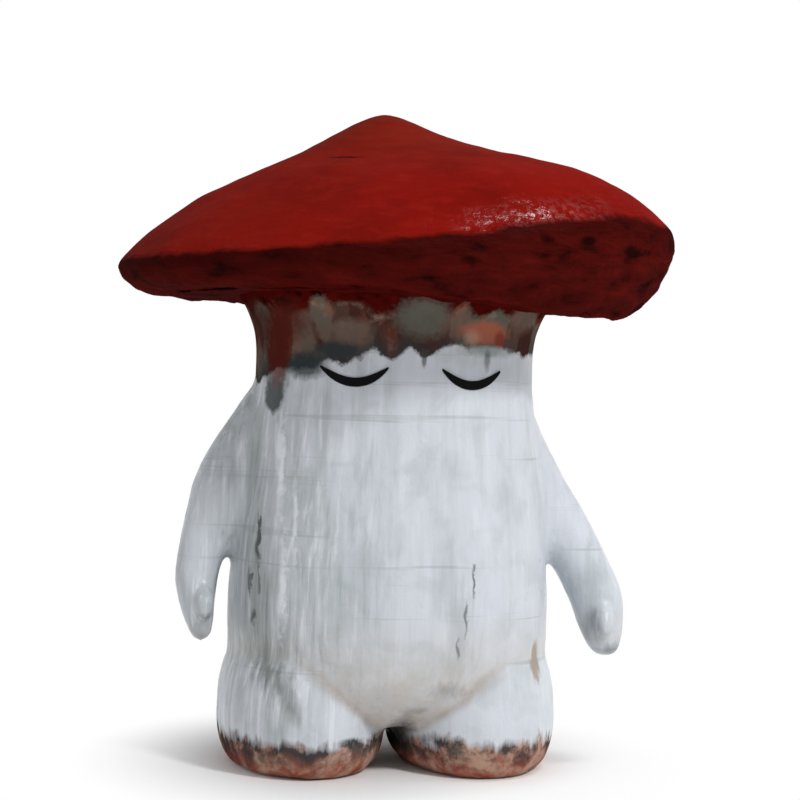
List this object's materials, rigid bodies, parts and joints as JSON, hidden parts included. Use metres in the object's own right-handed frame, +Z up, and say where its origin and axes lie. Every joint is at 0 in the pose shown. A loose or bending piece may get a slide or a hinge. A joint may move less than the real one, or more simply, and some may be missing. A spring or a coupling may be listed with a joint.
{
  "type": "mushroom figure ornament",
  "caption": "Free-standing ceramic mushroom figure with a wavy red cap, a pale stem body, hanging arms and stump feet, for display on a shelf or table.",
  "frame": {"origin": "on the plane that the figure stands on, midway between the two feet, under the middle of the cap's outline", "axes": "+Z up, the figure faces -Y, and its own left side is +X"},
  "size_m": [0.1724, 0.1562, 0.2],
  "materials": {
    "cap_glaze": "glossy red, brushed",
    "underside_glaze": "rough dark maroon",
    "body_glaze": "semi-gloss white, brushed",
    "eye_slip": "black slip"
  },
  "bodies": {
    "root": {"cap_top": "cap_glaze", "cap_underside": "underside_glaze", "stem_body": "body_glaze", "left_arm": "body_glaze", "right_arm": "body_glaze", "left_leg": "body_glaze", "right_leg": "body_glaze", "left_eye": "eye_slip", "right_eye": "eye_slip"}
  },
  "joints": []
}
